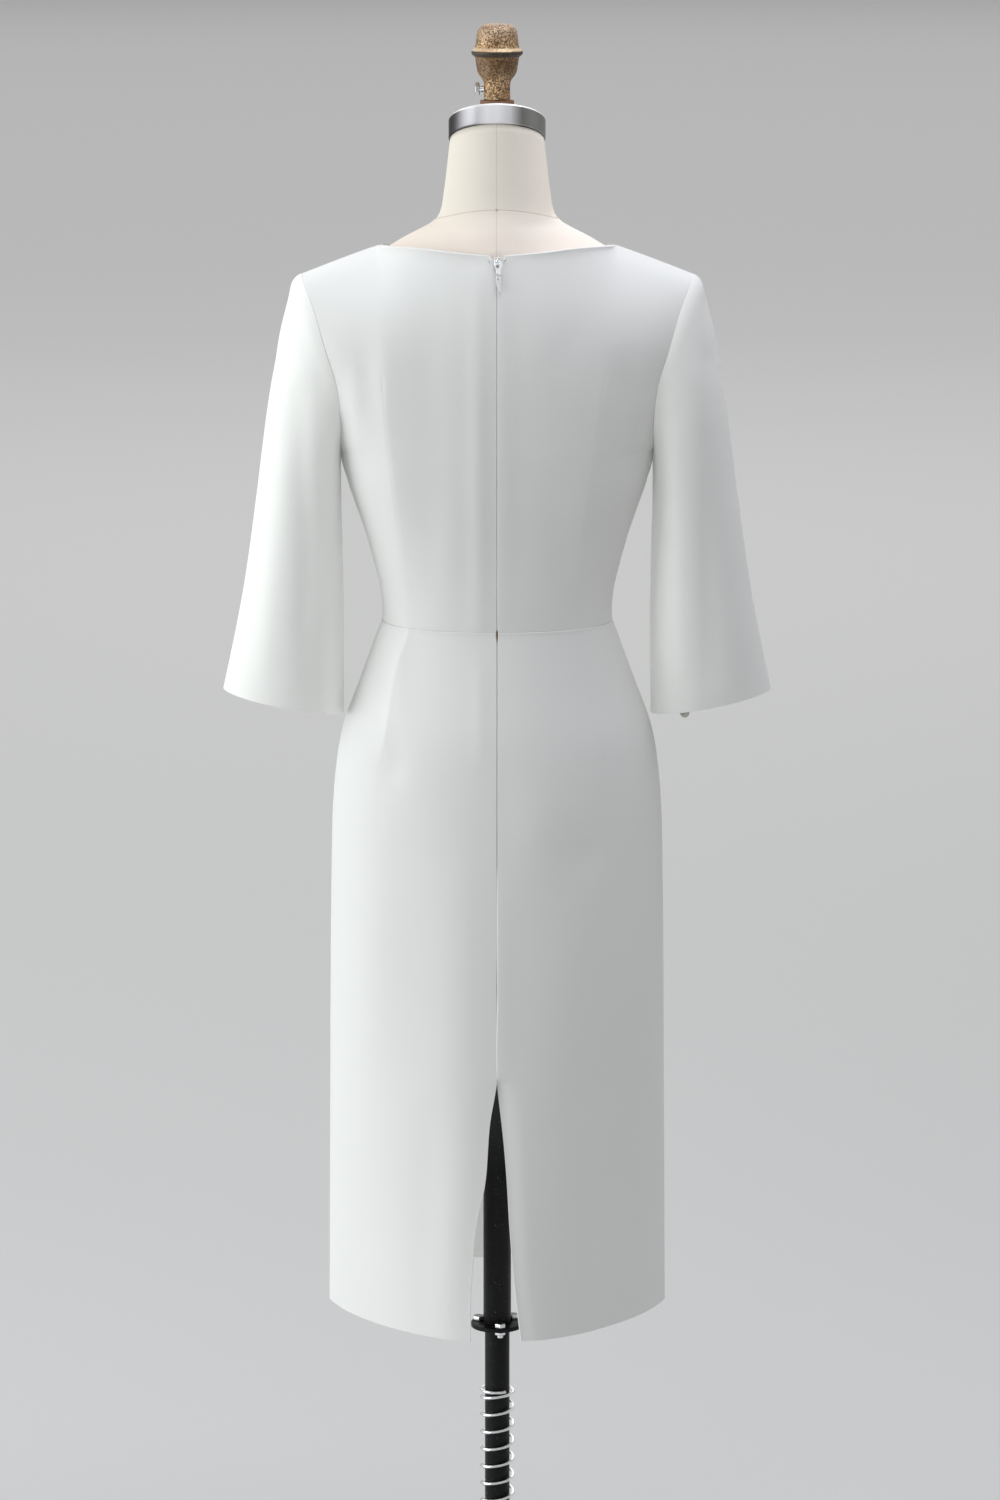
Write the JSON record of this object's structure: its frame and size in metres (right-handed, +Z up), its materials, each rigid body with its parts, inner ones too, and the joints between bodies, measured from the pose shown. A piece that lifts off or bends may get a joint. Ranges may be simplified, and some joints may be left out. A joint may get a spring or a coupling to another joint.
{
  "type": "sheath dress on dress form with stand",
  "caption": "Sheath dress with boat neck, three-quarter sleeves, back zip and vent, worn by a limbless dress form with neck cap and finial, on a pole stand with a round base.",
  "frame": {"origin": "on the floor under the middle of the base plate, on the pole's axis", "axes": "+Z up along the pole, the dress's back and the picture's camera towards -Y, +X to the wearer's right"},
  "size_m": [0.541, 0.4, 1.662],
  "materials": {
    "white_crepe": "matte woven crepe",
    "zip_white": "satin",
    "form_linen": "plain woven cover over a stiff shell",
    "brushed_steel": "brushed",
    "bronze_cast": "rough cast, browned",
    "zinc_plate": "zinc plated",
    "black_paint": "satin",
    "chrome": "polished"
  },
  "bodies": {
    "base": {"base_plate": "black_paint", "hub": "black_paint", "clamp_screw": "black_paint", "spring": "chrome"},
    "dressed_form": {"bodice_back_left": "white_crepe", "bodice_back_right": "white_crepe", "bodice_front": "white_crepe", "skirt_back_left": "white_crepe", "skirt_back_right": "white_crepe", "skirt_front": "white_crepe", "sleeve_left": "white_crepe", "sleeve_right": "white_crepe", "zip_tape": "zip_white", "zip_slider": "zinc_plate", "cuff_button": "zip_white", "form_body": "form_linen", "neck_cap": "brushed_steel", "finial": "bronze_cast", "finial_collar": "bronze_cast", "finial_bolt": "zinc_plate", "form_tube": "black_paint", "flange": "black_paint", "flange_bolt_1": "zinc_plate", "flange_bolt_2": "zinc_plate", "flange_bolt_3": "zinc_plate", "pole": "black_paint"},
    "pull_tab": {"zip_pull": "zip_white"}
  },
  "joints": [
    {"name": "height", "type": "slide", "parent": "base", "child": "dressed_form", "axis": [0, 0, 1], "range_m": [-0.04, 0.05]},
    {"name": "pull_swing", "type": "hinge", "parent": "dressed_form", "child": "pull_tab", "pos_m": [0, -0.08037, 1.44044], "axis": [-1, 0, 0], "range_deg": [0, 150]}
  ]
}
